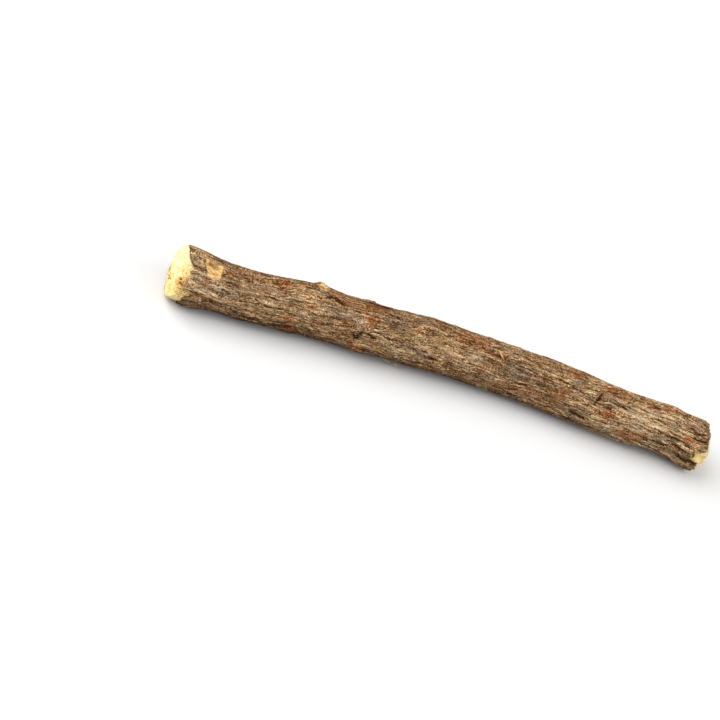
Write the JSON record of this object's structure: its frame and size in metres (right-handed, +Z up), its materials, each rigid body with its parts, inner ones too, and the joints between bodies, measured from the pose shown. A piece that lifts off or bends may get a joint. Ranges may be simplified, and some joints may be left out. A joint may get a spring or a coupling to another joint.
{
  "type": "licorice root stick",
  "caption": "Length of dried licorice root, cut across at both ends, with wrinkled brown bark, knots and pale fibrous wood, lying on its side.",
  "frame": {"origin": "middle of the stick's outline seen from above, on the surface that it lies on", "axes": "+X runs along the stick to its thinner end, +Y is the side that it bows out to, +Z is up"},
  "size_m": [0.172, 0.0216, 0.017],
  "materials": {
    "bark": "dull, rough, wrinkled",
    "cut_wood": "matt, fibrous"
  },
  "bodies": {
    "root": {"licorice_root": "bark"}
  },
  "joints": []
}
